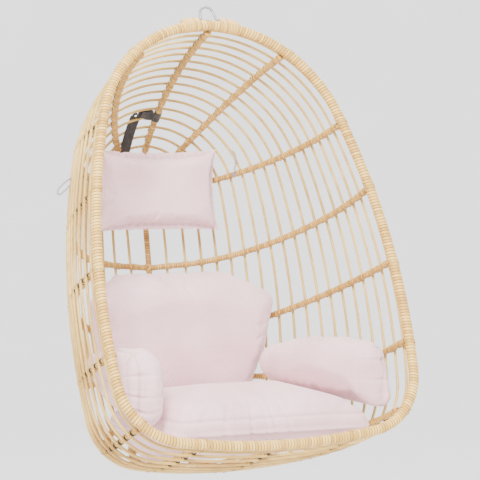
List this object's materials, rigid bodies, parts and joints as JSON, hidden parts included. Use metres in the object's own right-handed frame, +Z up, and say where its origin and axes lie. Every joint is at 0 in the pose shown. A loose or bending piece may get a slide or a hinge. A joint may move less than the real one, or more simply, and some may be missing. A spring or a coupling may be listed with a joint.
{
  "type": "hanging egg chair",
  "caption": "Egg-shaped hanging basket chair of wound steel ribs and cane rings, with a loose seat, back and arm cushion set, a headrest pillow and a steel hanging loop.",
  "frame": {"origin": "centre of the arch of the hanging loop, where the hook bears", "axes": "+Z up as it hangs, front opening towards -Y, X across the chair"},
  "size_m": [0.8838, 0.8838, 1.2439],
  "materials": {
    "wicker": "flat pale straw strip wound close round a steel tube",
    "cane": "smooth round cane, satin",
    "steel": "grey steel rod and tube",
    "cushion_cloth": "plain woven cloth, pale beige pink",
    "cord": "narrow pale tie cord",
    "webbing": "black woven webbing"
  },
  "bodies": {
    "basket": {"rim_tube": "steel", "rim_winding_left": "wicker", "rim_winding_right": "wicker", "hanging_loop": "steel", "loop_binding_left": "wicker", "loop_binding_right": "wicker", "spine": "wicker", "crown_rib_left": "wicker", "crown_rib_right": "wicker", "shoulder_rib_left": "wicker", "shoulder_rib_right": "wicker", "waist_rib_left": "wicker", "waist_rib_right": "wicker", "arm_rib_left": "wicker", "arm_rib_right": "wicker", "hip_rib_left": "wicker", "hip_rib_right": "wicker", "corner_rib_left": "wicker", "corner_rib_right": "wicker", "floor_rib_left": "wicker", "floor_rib_right": "wicker", "ring_01": "cane", "ring_02": "cane", "ring_03": "cane", "ring_04": "cane", "ring_05": "cane", "ring_06": "cane", "ring_07": "cane", "ring_08": "cane", "ring_09": "cane", "ring_10": "cane", "ring_11": "cane", "ring_12": "cane", "ring_13": "cane", "ring_14": "cane", "ring_15": "cane", "ring_16": "cane", "ring_17": "cane", "ring_18": "cane", "tie_left": "cord", "tie_right": "cord", "strap_loop": "webbing", "strap_tail": "webbing"},
    "cushion_set": {"seat_pad": "cushion_cloth", "back_pad": "cushion_cloth", "arm_pad_left": "cushion_cloth", "arm_pad_right": "cushion_cloth"},
    "headrest_pillow": {"headrest": "cushion_cloth"}
  },
  "joints": [
    {"name": "cushion_lift_out", "type": "slide", "parent": "basket", "child": "cushion_set", "axis": [0, -0.9317, 0.3633], "range_m": [0, 0.85]},
    {"name": "headrest_lift_out", "type": "slide", "parent": "basket", "child": "headrest_pillow", "axis": [0, -0.9317, 0.3633], "range_m": [0, 0.75]}
  ]
}
